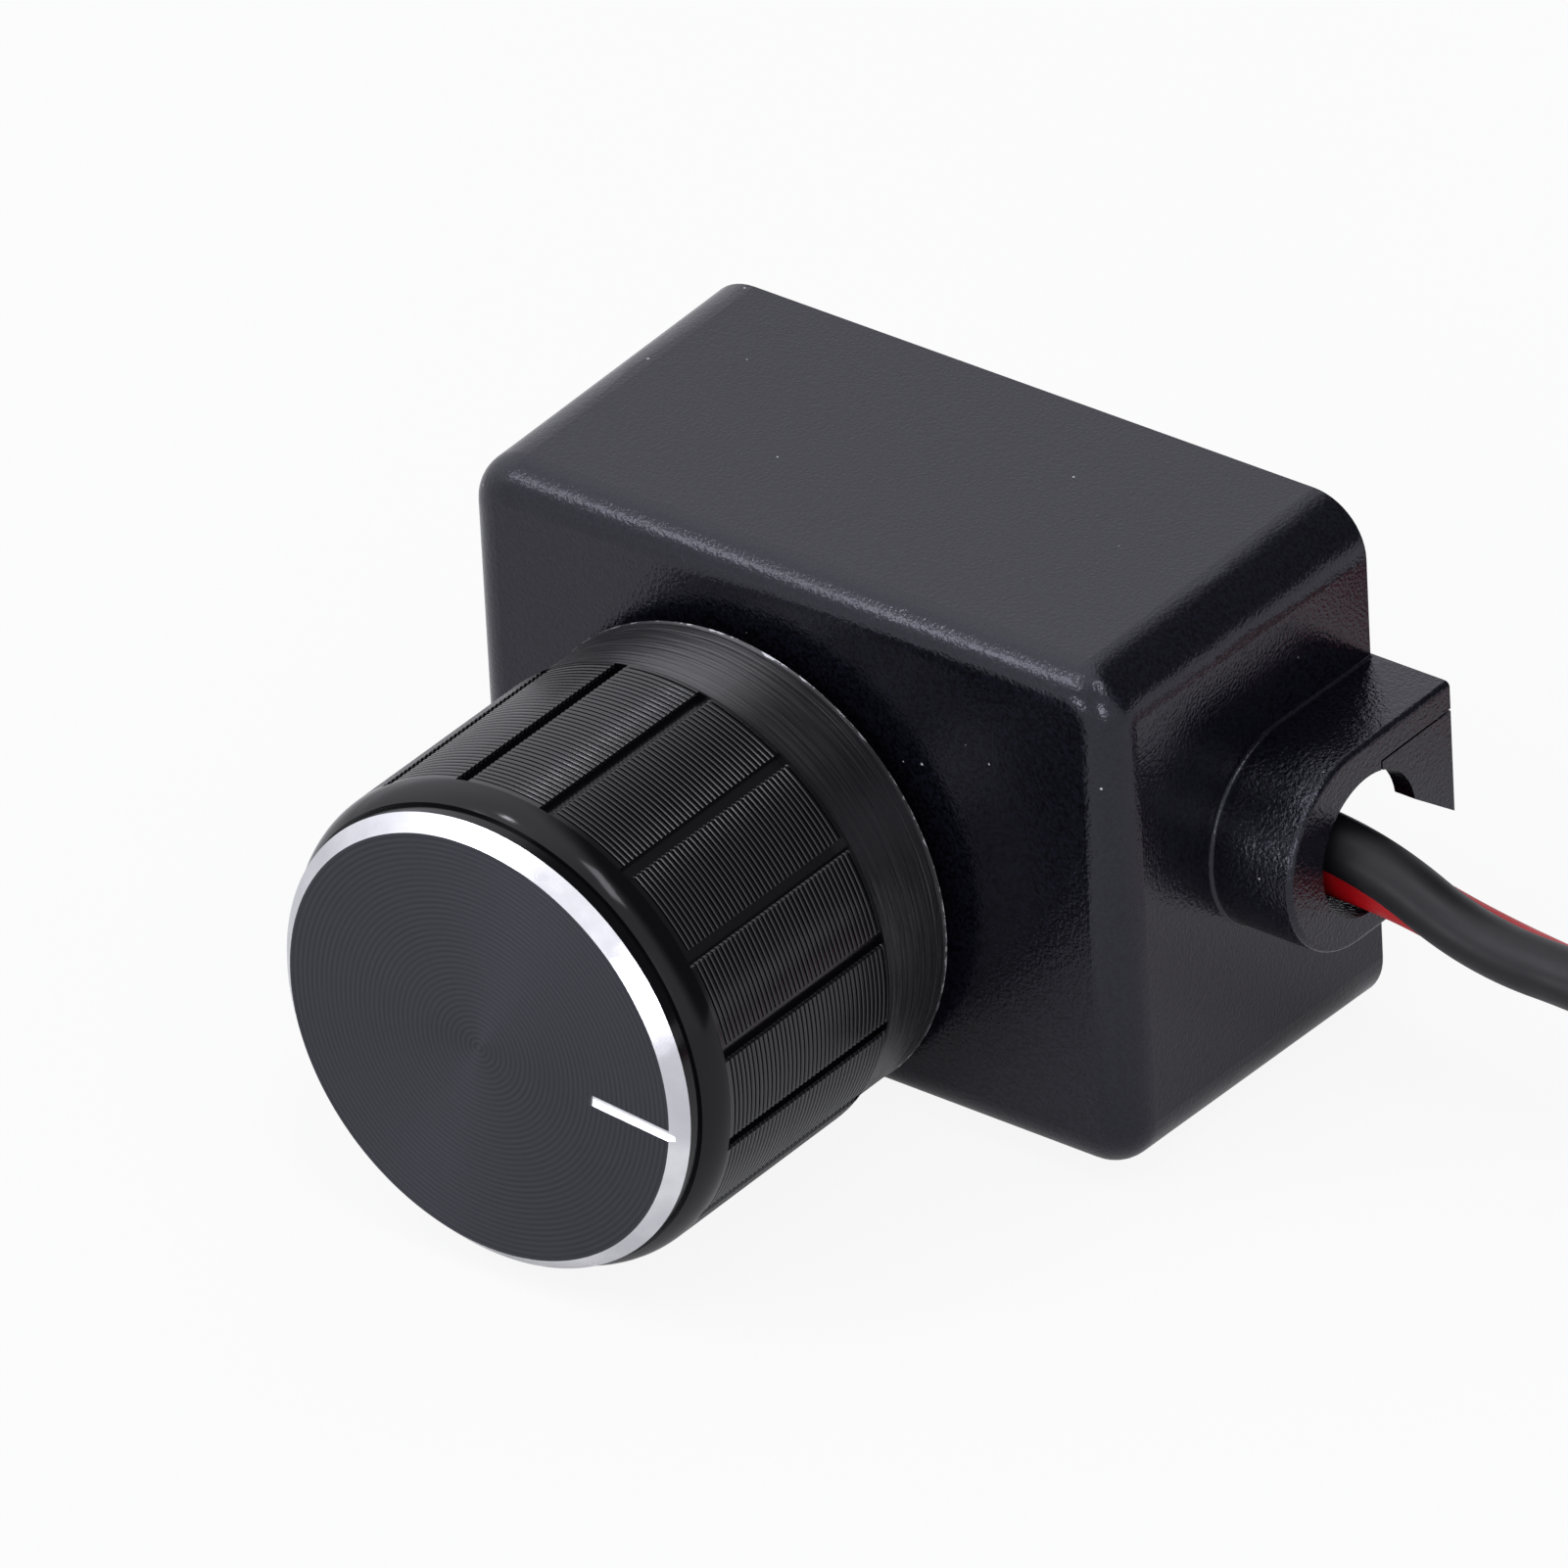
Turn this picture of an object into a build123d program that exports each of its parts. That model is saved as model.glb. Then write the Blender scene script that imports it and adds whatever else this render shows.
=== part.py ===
from build123d import *
import math
import os

os.makedirs("parts", exist_ok=True)

# LED dimmer switch: a moulded housing with a turned aluminium knob on a panel potentiometer.
# Origin: where the shaft's axis meets the outer face of the rear cover.
# +X towards the supply leads, -Y towards the knob, +Z up. Millimetres.
# Depths are measured forwards from the outer face of the rear cover.

# Housing shell
housing_width = 33.0
housing_height = 23.7
housing_depth = 16.4
corner_radius = 2.5
front_edge_radius = 1.6
draft = 1.0
wall = 1.6
least_corner = 0.3
axis_to_middle_x = 2.25
axis_to_middle_z = 1.95

# Cable collars, one on each side
collar_reach = 3.75
collar_radius = 4.4
collar_set = 6.25
collar_up = 0.4
collar_edge_radius = 0.25
collar_root_radius = 0.15
bore_radius = 3.1
bore_set = 5.4
bore_up = 0.15
keeper_seat_set = 4.45
keeper_seat_rise = 0.3
lower_lip_cut = 2.5
way_drop = 0.9

# Rear cover with a cable keeper at each collar
cover_thickness = 1.4
cover_proud = 0.2
cover_fit = 0.1
rim_lip = 0.8
keeper_thickness = 1.0
keeper_tip_angle = 9.0
keeper_drop = 1.4
neck_rise = 0.7
notch_depth = 1.6
peg_radius = 1.3
peg_fit = 0.1

# Circuit board and its posts
board_thickness = 1.2
board_fit = 0.5
board_corner = 1.0
post_radius = 1.6
post_inset = 2.3

# Potentiometer
bushing_radius = 3.5
bushing_length = 6.4
bushing_chamfer = 0.3
bushing_bore_fit = 0.05
panel_hole_fit = 0.2
pot_width = 10.0
pot_height = 11.0
pot_corner = 0.6
pot_plate_thickness = 1.2
pot_case_depth = 2.5
pot_wafer_thickness = 0.8
pot_back_thickness = 0.4
claw_width = 3.6
claw_grip = 0.6
washer_radius = 5.8
washer_thickness = 0.5
nut_across_flats = 10.0
nut_thickness = 2.0
thread_fit = 0.05

# Shaft, rotor and wiper
shaft_radius = 3.0
shaft_flat = 1.5
shaft_end_gap = 0.6
tail_radius = 1.9
tail_length = 1.2
rotor_radius = 4.0
rotor_thickness = 1.5
rotor_end_play = 0.2
rotor_clearance = 0.4
wiper_thickness = 0.15
wiper_ring_radius = 3.5
wiper_finger_width = 0.8
wiper_gap = 0.05
ring_radius = 4.0
ring_thickness = 0.5
ring_groove_radius = 2.5
ring_play = 0.1

# Terminal pins of the potentiometer
pin_pitch = 2.5
pin_width = 0.8
pin_thickness = 0.4
pin_row_drop = 4.7
pin_hole_radius = 0.6
pin_stand_off = 0.9
pin_clearance = 0.6

# Knob
knob_gap = 1.0
knob_height = 16.8
knob_land_radius = 10.7
skirt_step = 0.2
skirt_length = 3.8
neck_step = 0.6
neck_length = 1.2
shoulder_rise = 0.12
shoulder_length = 1.2
bright_ring_width = 0.63
bright_ring_depth = 0.6
land_ramp = 0.3
groove_count = 16
groove_first_angle = 11.25
groove_width = 0.55
groove_depth = 0.4
pointer_angle = -5.0
pointer_inner_radius = 5.4
pointer_width = 0.5
pointer_depth = 0.2
nut_recess_radius = 7.6
nut_recess_depth = 5.2
insert_radius = 5.2
knob_crown = 2.0
insert_standing = 0.3
insert_floor = 0.3
shaft_bore_fit = 0.03

# Leads
lead_diameter = 2.4
core_diameter = 1.1
core_length = 6.0
solder_tail = 2.4
solder_length = 1.9
solder_width = 2.2
solder_sink = 0.3
solder_slope = 12.0
pin_solder_radius = 0.9
pin_solder_height = 0.7
pin_solder_slope = 25.0

# Parts on the back of the board, placed from the shaft's axis or beside a peg
board_part_gap = 0.2
capacitor_can_radius = 3.0
capacitor_can_height = 4.6
capacitor_can_edge = 0.4
capacitor_base_width = 6.3
capacitor_base_height = 0.8
capacitor_up = 6.6
transistor_width = 6.6
transistor_length = 6.1
transistor_height = 2.3
transistor_tab_width = 5.3
transistor_tab_length = 0.8
transistor_leg_width = 0.8
transistor_leg_length = 2.1
transistor_leg_pitch = 4.6
transistor_sheet = 0.5
transistor_place = (5.4, 7.5)
timer_width = 4.9
timer_length = 3.9
timer_height = 1.6
timer_leg_width = 0.4
timer_leg_length = 1.1
timer_leg_height = 0.3
timer_leg_pitch = 1.27
timer_leg_pairs = 4
timer_place = (-6.0, -0.2)
regulator_width = 4.5
regulator_length = 2.5
regulator_height = 1.5
regulator_tab_width = 1.7
regulator_tab_length = 0.7
regulator_leg_width = 0.45
regulator_leg_length = 0.6
regulator_leg_pitch = 1.5
regulator_sheet = 0.4
regulator_place = (8.2, -0.8)
diode_width = 4.3
diode_length = 2.6
diode_height = 2.2
diode_lug_reach = 0.45
diode_lug_width = 1.4
diode_lug_height = 0.4
diode_down = 5.4
chip_width = 2.0
chip_length = 1.25
chip_pitch = 3.0
resistor_height = 0.5
resistor_row_pitch = 2.2
resistor_place = (1.5, 0.4)
chip_capacitor_height = 0.9
chip_capacitor_place = (1.5, -2.4)

# Depths and places that follow
rim = cover_proud
front_face = rim + housing_depth
front_wall_inside = front_face - wall
pot_case_front = front_wall_inside - pot_plate_thickness
wafer_front = pot_case_front - pot_case_depth
wafer_back = wafer_front - pot_wafer_thickness
board_front = wafer_back - pot_back_thickness
board_back = board_front - board_thickness
bushing_end = front_wall_inside + bushing_length
ring_back = bushing_end + ring_play
knob_base = front_face + knob_gap
knob_face = knob_base + knob_height
insert_back = ring_back + ring_thickness + insert_standing
insert_front = knob_face - knob_crown
shaft_end = insert_front - shaft_end_gap
rotor_front = pot_case_front - rotor_end_play
rotor_back = rotor_front - rotor_thickness

middle_x = axis_to_middle_x
middle_z = axis_to_middle_z
left_end = middle_x - housing_width / 2 - collar_reach
right_end = middle_x + housing_width / 2 + collar_reach
collar_y = -(rim + collar_set)
collar_z = middle_z + collar_up
bore_y = -(rim + bore_set)
bore_z = middle_z + bore_up
keeper_seat_y = -(rim + keeper_seat_set)
keeper_seat_top = bore_radius + keeper_seat_rise
inside_width = housing_width - 2 * wall
inside_height = housing_height - 2 * wall
inside_corner = max(corner_radius - wall, least_corner)
draft_inset = math.tan(math.radians(draft)) * housing_depth
post_span_x = inside_width - 2 * draft_inset - 2 * post_inset
post_span_z = inside_height - 2 * draft_inset - 2 * post_inset
left_peg_edge = middle_x - post_span_x / 2 + peg_radius + board_part_gap
right_peg_edge = middle_x + post_span_x / 2 - peg_radius - board_part_gap


def ahead(depth):
    # a plane parallel to the back, that far towards the knob
    return Plane.XZ.offset(depth)


def from_face(distance):
    # the y of a turned feature, counted back from the knob's face
    return distance - knob_face


# Housing: drafted block, collars run through it, then the hollow and the cable way are cut
with BuildPart() as housing:
    with BuildSketch(ahead(rim)):
        with Locations((middle_x, middle_z)):
            RectangleRounded(housing_width, housing_height, corner_radius)
    extrude(amount=housing_depth, taper=draft)
    fillet(housing.faces().sort_by(Axis.Y)[0].edges(), front_edge_radius)
    with BuildSketch(Plane.YZ.offset(left_end)):
        with Locations((collar_y, collar_z)):
            Circle(collar_radius)
            Rectangle(-collar_y, 2 * collar_radius, align=(Align.MIN, Align.CENTER))
    extrude(amount=right_end - left_end)
    fillet(housing.edges().group_by(Axis.X)[0].filter_by(GeomType.CIRCLE), collar_edge_radius)
    fillet(housing.edges().group_by(Axis.X)[-1].filter_by(GeomType.CIRCLE), collar_edge_radius)
    collar_roots = [
        edge
        for edge in housing.edges()
        if housing_width / 2 - draft_inset < abs(edge.center().X - middle_x) < housing_width / 2
        and abs(edge.center().Z - collar_z) < collar_radius + collar_root_radius
        and collar_y - collar_radius < edge.center().Y < -rim
    ]
    fillet(collar_roots, collar_root_radius)
    # the hollow
    with BuildSketch(ahead(rim)):
        with Locations((middle_x, middle_z)):
            RectangleRounded(inside_width, inside_height, inside_corner)
    extrude(amount=housing_depth - wall, taper=draft, mode=Mode.SUBTRACT)
    # the seat of the cover
    with BuildSketch(ahead(0)):
        with Locations((middle_x, middle_z)):
            RectangleRounded(
                housing_width - 2 * rim_lip,
                housing_height - 2 * rim_lip,
                max(corner_radius - rim_lip, least_corner),
            )
    extrude(amount=cover_thickness, mode=Mode.SUBTRACT)
    # the cable way, round in front, open to the back and taller there for the keeper
    with BuildSketch(Plane.YZ.offset(left_end)):
        with Locations((bore_y, bore_z)):
            Circle(bore_radius)
            Rectangle(-bore_y, bore_radius, align=(Align.MIN, Align.MAX))
        with Locations((keeper_seat_y, bore_z - bore_radius)):
            Rectangle(-keeper_seat_y, bore_radius + keeper_seat_top, align=(Align.MIN, Align.MIN))
    extrude(amount=right_end - left_end, mode=Mode.SUBTRACT)
    # the lower lip of each collar stops short and the way is deeper there, so that leads can be laid in
    for side_x, side_align in ((left_end, Align.MIN), (right_end, Align.MAX)):
        with BuildSketch(ahead(0)):
            with Locations((side_x, collar_z - collar_radius)):
                Rectangle(collar_reach, collar_radius, align=(side_align, Align.MIN))
            with Locations((side_x, bore_z - bore_radius - way_drop)):
                Rectangle(
                    collar_reach + wall + draft_inset,
                    bore_radius + way_drop,
                    align=(side_align, Align.MIN),
                )
        extrude(amount=lower_lip_cut, mode=Mode.SUBTRACT)
    # the hole for the bushing
    with BuildSketch(ahead(front_wall_inside)):
        Circle(bushing_radius + panel_hole_fit)
    extrude(amount=wall, mode=Mode.SUBTRACT)
    # four posts carry the board
    with BuildSketch(ahead(board_front)):
        with Locations((middle_x, middle_z)):
            with GridLocations(post_span_x, post_span_z, 2, 2):
                Circle(post_radius)
    extrude(amount=front_wall_inside - board_front)

# Rear cover: drop-in plate, necks through the rim and a keeper that closes each collar's top
with BuildPart() as rear_cover:
    with BuildSketch(ahead(0)):
        with Locations((middle_x, middle_z)):
            RectangleRounded(
                housing_width - 2 * (rim_lip + cover_fit),
                housing_height - 2 * (rim_lip + cover_fit),
                max(corner_radius - rim_lip - cover_fit, least_corner),
            )
    extrude(amount=cover_thickness)
    # room for the leads beside each neck
    with BuildSketch(ahead(0)):
        for side in (-1, 1):
            with Locations((middle_x + side * (housing_width / 2 - wall - notch_depth), bore_z)):
                Rectangle(
                    2 * (wall + notch_depth),
                    bore_radius + way_drop,
                    align=(Align.MIN if side > 0 else Align.MAX, Align.MAX),
                )
    extrude(amount=cover_thickness, mode=Mode.SUBTRACT)
    keeper_top = keeper_seat_top - cover_fit
    keeper_front = keeper_seat_y + cover_fit
    keeper_top_angle = math.degrees(math.acos((keeper_front - bore_y) / bore_radius))
    with BuildSketch(ahead(0)):
        with Locations((middle_x, bore_z + neck_rise)):
            Rectangle(
                right_end - left_end,
                keeper_top - neck_rise,
                align=(Align.CENTER, Align.MIN),
            )
    extrude(amount=cover_thickness)
    # keepers
    for keeper_x in (left_end, right_end - keeper_thickness):
        with BuildSketch(Plane.YZ.offset(keeper_x)):
            with BuildLine():
                notch = CenterArc(
                    (bore_y, bore_z),
                    bore_radius,
                    keeper_tip_angle,
                    keeper_top_angle - keeper_tip_angle,
                )
                Polyline(
                    notch @ 1,
                    (keeper_front, bore_z + keeper_top),
                    (0, bore_z + keeper_top),
                    (0, bore_z - keeper_drop),
                    notch @ 0,
                )
            make_face()
        extrude(amount=keeper_thickness)
    # pegs hold the board on its posts
    with BuildSketch(ahead(cover_thickness)):
        with Locations((middle_x, middle_z)):
            with GridLocations(post_span_x, post_span_z, 2, 2):
                Circle(peg_radius)
    extrude(amount=board_back - cover_thickness - peg_fit)

# Circuit board with holes for the potentiometer's pins
with BuildPart() as circuit_board:
    with BuildSketch(ahead(board_back)):
        with Locations((middle_x, middle_z)):
            RectangleRounded(
                inside_width - 2 * draft_inset - 2 * board_fit,
                inside_height - 2 * draft_inset - 2 * board_fit,
                board_corner,
            )
        with Locations((0, -pin_row_drop)):
            with GridLocations(pin_pitch, 1, 3, 1):
                Circle(pin_hole_radius, mode=Mode.SUBTRACT)
    extrude(amount=board_thickness)

# Potentiometer: cast plate and bushing
with BuildPart() as pot_bushing:
    with BuildSketch(ahead(pot_case_front)):
        RectangleRounded(pot_width, pot_height, pot_corner)
    extrude(amount=pot_plate_thickness)
    with BuildSketch(ahead(front_wall_inside)):
        Circle(bushing_radius)
    extrude(amount=bushing_length)
    chamfer(pot_bushing.faces().sort_by(Axis.Y)[0].edges(), bushing_chamfer)
    with BuildSketch(ahead(pot_case_front)):
        Circle(shaft_radius + bushing_bore_fit)
    extrude(amount=pot_plate_thickness + bushing_length, mode=Mode.SUBTRACT)

# Potentiometer: moulded case around the rotor
with BuildPart() as pot_case:
    with BuildSketch(ahead(wafer_front)):
        RectangleRounded(pot_width, pot_height, pot_corner)
        Circle(rotor_radius + rotor_clearance, mode=Mode.SUBTRACT)
    extrude(amount=pot_case_depth)

# Potentiometer: wafer with the resistance track
with BuildPart() as pot_wafer:
    with BuildSketch(ahead(wafer_back)):
        RectangleRounded(pot_width, pot_height, pot_corner)
    extrude(amount=pot_wafer_thickness)

# Potentiometer: sheet back, with claws along both sides up to the cast plate
with BuildPart() as pot_back:
    with BuildSketch(ahead(board_front)):
        with Locations((0, pot_height / 2)):
            Rectangle(
                pot_width,
                pot_height / 2 + pin_row_drop - pin_thickness / 2 - pin_clearance,
                align=(Align.CENTER, Align.MAX),
            )
        Rectangle(pot_width + 2 * pot_back_thickness, claw_width)
    extrude(amount=pot_back_thickness)
    with BuildSketch(ahead(wafer_back)):
        for side in (-1, 1):
            with Locations((side * (pot_width + pot_back_thickness) / 2, 0)):
                Rectangle(pot_back_thickness, claw_width)
    extrude(amount=pot_case_front - wafer_back + claw_grip)

# Potentiometer: three pins, from the wafer through the board
with BuildPart() as pot_terminals:
    with BuildSketch(ahead(board_back - pin_stand_off)):
        with Locations((0, -pin_row_drop)):
            with GridLocations(pin_pitch, 1, 3, 1):
                Rectangle(pin_width, pin_thickness)
    extrude(amount=wafer_back - board_back + pin_stand_off)

# Lock washer and nut on the outside of the front wall
with BuildPart() as pot_washer:
    with BuildSketch(ahead(front_face)):
        Circle(washer_radius)
        Circle(bushing_radius + thread_fit, mode=Mode.SUBTRACT)
    extrude(amount=washer_thickness)

with BuildPart() as pot_nut:
    with BuildSketch(ahead(front_face + washer_thickness)):
        RegularPolygon(nut_across_flats / 2, 6, major_radius=False)
        Circle(bushing_radius + thread_fit, mode=Mode.SUBTRACT)
    extrude(amount=nut_thickness)

# Shaft: flat-sided end for the knob, a groove for the retaining ring, and a tail for the rotor
with BuildPart() as pot_shaft:
    with BuildSketch(Plane.XY):
        with BuildLine():
            Polyline(
                (0, -rotor_front + tail_length),
                (tail_radius, -rotor_front + tail_length),
                (tail_radius, -rotor_front),
                (shaft_radius, -rotor_front),
                (shaft_radius, -ring_back),
                (ring_groove_radius, -ring_back),
                (ring_groove_radius, -ring_back - ring_thickness),
                (shaft_radius, -ring_back - ring_thickness),
                (shaft_radius, -shaft_end),
                (0, -shaft_end),
                close=True,
            )
        make_face()
    revolve(axis=Axis.Y)
    with BuildSketch(ahead(insert_back)):
        with Locations((0, shaft_radius - shaft_flat)):
            Rectangle(2 * shaft_radius, shaft_flat, align=(Align.CENTER, Align.MIN))
    extrude(amount=shaft_end - insert_back, mode=Mode.SUBTRACT)

with BuildPart() as pot_rotor:
    with BuildSketch(ahead(rotor_back)):
        Circle(rotor_radius)
    extrude(amount=rotor_thickness)
    with BuildSketch(ahead(rotor_front)):
        Circle(tail_radius)
    extrude(amount=-tail_length, mode=Mode.SUBTRACT)

# Wiper: spring ring on the rotor's back, with two fingers that ride on the wafer
with BuildPart() as wiper_contact:
    with BuildSketch(ahead(rotor_back - wiper_thickness)):
        Circle(wiper_ring_radius)
        Circle(tail_radius, mode=Mode.SUBTRACT)
    extrude(amount=wiper_thickness)
    with BuildSketch(ahead(wafer_front + wiper_gap)):
        with PolarLocations((wiper_ring_radius + tail_radius) / 2, 2):
            Rectangle(wiper_finger_width, wiper_finger_width)
    extrude(amount=rotor_back - wafer_front - wiper_gap - wiper_thickness)

with BuildPart() as retaining_ring:
    with BuildSketch(ahead(ring_back)):
        Circle(ring_radius)
        Circle(ring_groove_radius, mode=Mode.SUBTRACT)
        Rectangle(
            ring_radius,
            ring_groove_radius,
            align=(Align.MIN, Align.CENTER),
            mode=Mode.SUBTRACT,
        )
    extrude(amount=ring_thickness)

# Knob: turned shell with a shouldered neck, bright ring, milled grooves and a pointer line
with BuildPart() as knob_shell:
    lands_start = neck_length + shoulder_length
    lands_end = knob_height - skirt_length - land_ramp
    neck_radius = knob_land_radius - neck_step
    skirt_radius = knob_land_radius - skirt_step
    shoulder_radius = neck_radius + shoulder_rise
    with BuildSketch(Plane.XY):
        with BuildLine():
            Polyline(
                (0, from_face(knob_crown)),
                (0, from_face(0)),
                (neck_radius - bright_ring_width, from_face(0)),
                (neck_radius, from_face(bright_ring_depth)),
                (neck_radius, from_face(neck_length)),
                (shoulder_radius, from_face(neck_length)),
            )
            TangentArc(
                (knob_land_radius, from_face(lands_start)),
                (shoulder_radius, from_face(neck_length)),
                tangent=(0, -1),
            )
            Polyline(
                (knob_land_radius, from_face(lands_start)),
                (knob_land_radius, from_face(lands_end)),
                (skirt_radius, from_face(lands_end + land_ramp)),
                (skirt_radius, from_face(knob_height)),
                (nut_recess_radius, from_face(knob_height)),
                (nut_recess_radius, from_face(knob_height - nut_recess_depth)),
                (insert_radius, from_face(knob_height - nut_recess_depth)),
                (insert_radius, from_face(knob_crown)),
                (0, from_face(knob_crown)),
            )
        make_face()
    revolve(axis=Axis.Y)
    with BuildSketch(ahead(knob_face - lands_end)):
        with PolarLocations(knob_land_radius, groove_count, start_angle=groove_first_angle):
            Rectangle(2 * groove_depth, groove_width)
    extrude(amount=lands_end - lands_start, mode=Mode.SUBTRACT)
    with BuildSketch(ahead(knob_face)):
        with Locations(Location((0, 0), pointer_angle)):
            with Locations((pointer_inner_radius, 0)):
                Rectangle(
                    neck_radius - pointer_inner_radius,
                    pointer_width,
                    align=(Align.MIN, Align.CENTER),
                )
    extrude(amount=-pointer_depth, mode=Mode.SUBTRACT)

# Knob insert: moulded hub with a flat-sided bore
with BuildPart() as knob_insert:
    with BuildSketch(ahead(insert_back)):
        Circle(insert_radius)
    extrude(amount=insert_front - insert_back)
    with BuildSketch(ahead(insert_back)):
        Circle(shaft_radius + shaft_bore_fit)
        with Locations((0, shaft_radius - shaft_flat + shaft_bore_fit)):
            Rectangle(
                3 * shaft_radius,
                3 * shaft_radius,
                align=(Align.CENTER, Align.MIN),
                mode=Mode.SUBTRACT,
            )
    extrude(amount=insert_front - insert_floor - insert_back, mode=Mode.SUBTRACT)


# Leads: straight runs joined by arcs as large as the runs allow
black_route = [
    (13.0, -7.3, 2.6),
    (17.8, -6.95, 2.8),
    (23.5, -6.75, 2.45),
    (28.6, -6.75, 0.05),
    (34.6, -6.45, -0.1),
    (40.8, -5.2, -2.3),
    (47.3, -2.35, -5.6),
    (52.7, 2.4, -8.15),
    (55.7, 9.6, -8.2),
    (54.5, 17.4, -7.95),
    (49.2, 23.2, -7.7),
    (41.8, 25.1, -7.62),
    (34.4, 23.7, -7.68),
    (28.6, 19.3, -7.85),
]
red_route = [
    (13.0, -7.3, -0.4),
    (17.8, -5.75, 0.5),
    (23.5, -5.25, 0.2),
    (27.6, -4.6, -0.95),
    (32.6, -4.2, -0.85),
    (39.0, -2.7, -2.95),
    (45.5, -0.1, -6.4),
    (50.2, 4.3, -8.25),
    (52.7, 10.2, -8.2),
    (51.7, 16.2, -8.0),
    (47.6, 20.6, -7.8),
    (41.7, 22.2, -7.72),
    (35.5, 21.0, -7.8),
    (30.3, 17.0, -7.95),
    (27.1, 11.6, -8.15),
]


def bend_radii(route):
    radii = []
    for before, corner, after in zip(route, route[1:], route[2:]):
        run_in = Vector(corner) - Vector(before)
        run_out = Vector(after) - Vector(corner)
        half_turn = math.radians(run_in.get_angle(run_out) / 2)
        radii.append(0.45 * min(run_in.length, run_out.length) / math.tan(half_turn))
    return radii


def lead_path(route):
    with BuildLine() as path:
        FilletPolyline(*route, radius=bend_radii(route))
    return path.wires()[0]


def lead_tube(path):
    with BuildPart() as tube:
        with BuildSketch(Plane(path @ 0, z_dir=path % 0)):
            Circle(lead_diameter / 2)
        sweep(path=path)
    return tube.part


def core_at(place, heading, length):
    with BuildPart() as core:
        with BuildSketch(Plane(place, z_dir=heading)):
            Circle(core_diameter / 2)
        extrude(amount=length)
    return core.part


black_path = lead_path(black_route)
red_path = lead_path(red_route)
black_lead = lead_tube(black_path)
red_lead = lead_tube(red_path)
for name, route, path, tube in (
    ("black", black_route, black_path, black_lead),
    ("red", red_route, red_path, red_lead),
):
    print(name, "lead radii", [round(radius, 1) for radius in bend_radii(route)])
    section = math.pi * lead_diameter**2 / 4
    print(name, "lead length", round(path.length, 2), "volume share", round(tube.volume / section / path.length, 4))

black_lead_end = core_at(black_path @ 1, black_path % 1, core_length)
red_lead_end = core_at(red_path @ 1, red_path % 1, core_length)

# Tinned cores that the leads end in on the board
with BuildPart() as lead_cores:
    for path in (black_path, red_path):
        with BuildSketch(Plane(path @ 0, z_dir=-(path % 0))):
            Circle(core_diameter / 2)
    extrude(amount=solder_tail)

# Solder: a mound under each lead's core, and a cone round each pin
with BuildPart() as solder_joints:
    for path in (black_path, red_path):
        start = path @ 0
        with BuildSketch(ahead(board_back)):
            with Locations((start.X - solder_tail / 2, start.Z)):
                Rectangle(solder_length, solder_width)
        extrude(amount=-(board_back + start.Y) - solder_sink, taper=solder_slope)
    with BuildSketch(ahead(board_back)):
        with Locations((0, -pin_row_drop)):
            with GridLocations(pin_pitch, 1, 3, 1):
                Circle(pin_solder_radius)
    extrude(amount=-pin_solder_height, taper=pin_solder_slope)
    add(lead_cores.part, mode=Mode.SUBTRACT)
    add(pot_terminals.part, mode=Mode.SUBTRACT)


def on_board(width, length, stand, place):
    # a block on the back of the board
    with BuildSketch(ahead(board_back)) as outline:
        with Locations(place):
            Rectangle(width, length)
    extrude(outline.sketch, amount=-stand)


def beside(place, along_x, along_z):
    return (place[0] + along_x, place[1] + along_z)


# Electrolytic capacitor: can on a moulded base
with BuildPart() as electrolytic_capacitor:
    capacitor_place = (left_peg_edge + capacitor_base_width / 2, capacitor_up)
    on_board(capacitor_base_width, capacitor_base_width, capacitor_base_height, capacitor_place)
    with BuildSketch(ahead(board_back - capacitor_base_height)):
        with Locations(capacitor_place):
            Circle(capacitor_can_radius)
    extrude(amount=-capacitor_can_height)
    chamfer(electrolytic_capacitor.faces().sort_by(Axis.Y)[-1].edges(), capacitor_can_edge)

# Power transistor: moulded body, heat tab above it and two legs below
with BuildPart() as power_transistor:
    on_board(transistor_width, transistor_length, transistor_height, transistor_place)
    tab_up = (transistor_length + transistor_tab_length) / 2
    tab_place = beside(transistor_place, 0, tab_up)
    on_board(transistor_tab_width, transistor_tab_length, transistor_sheet, tab_place)
    leg_down = (transistor_length + transistor_leg_length) / 2
    for side in (-1, 1):
        leg_place = beside(transistor_place, side * transistor_leg_pitch / 2, -leg_down)
        on_board(transistor_leg_width, transistor_leg_length, transistor_sheet, leg_place)

# Timer chip: body with a row of legs above and below
with BuildPart() as timer_chip:
    on_board(timer_width, timer_length, timer_height, timer_place)
    with BuildSketch(ahead(board_back)):
        with Locations(timer_place):
            with GridLocations(timer_leg_pitch, timer_length + timer_leg_length, timer_leg_pairs, 2):
                Rectangle(timer_leg_width, timer_leg_length)
    extrude(amount=-timer_leg_height)

# Voltage regulator: body, tab above it and three legs below
with BuildPart() as voltage_regulator:
    on_board(regulator_width, regulator_length, regulator_height, regulator_place)
    tab_up = (regulator_length + regulator_tab_length) / 2
    tab_place = beside(regulator_place, 0, tab_up)
    on_board(regulator_tab_width, regulator_tab_length, regulator_sheet, tab_place)
    leg_down = (regulator_length + regulator_leg_length) / 2
    for step in (-1, 0, 1):
        leg_place = beside(regulator_place, step * regulator_leg_pitch, -leg_down)
        on_board(regulator_leg_width, regulator_leg_length, regulator_sheet, leg_place)

# Flyback diode: body with a lug at each end
with BuildPart() as flyback_diode:
    diode_place = (right_peg_edge - diode_lug_reach - diode_width / 2, -diode_down)
    on_board(diode_width, diode_length, diode_height, diode_place)
    on_board(diode_width + 2 * diode_lug_reach, diode_lug_width, diode_lug_height, diode_place)

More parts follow.
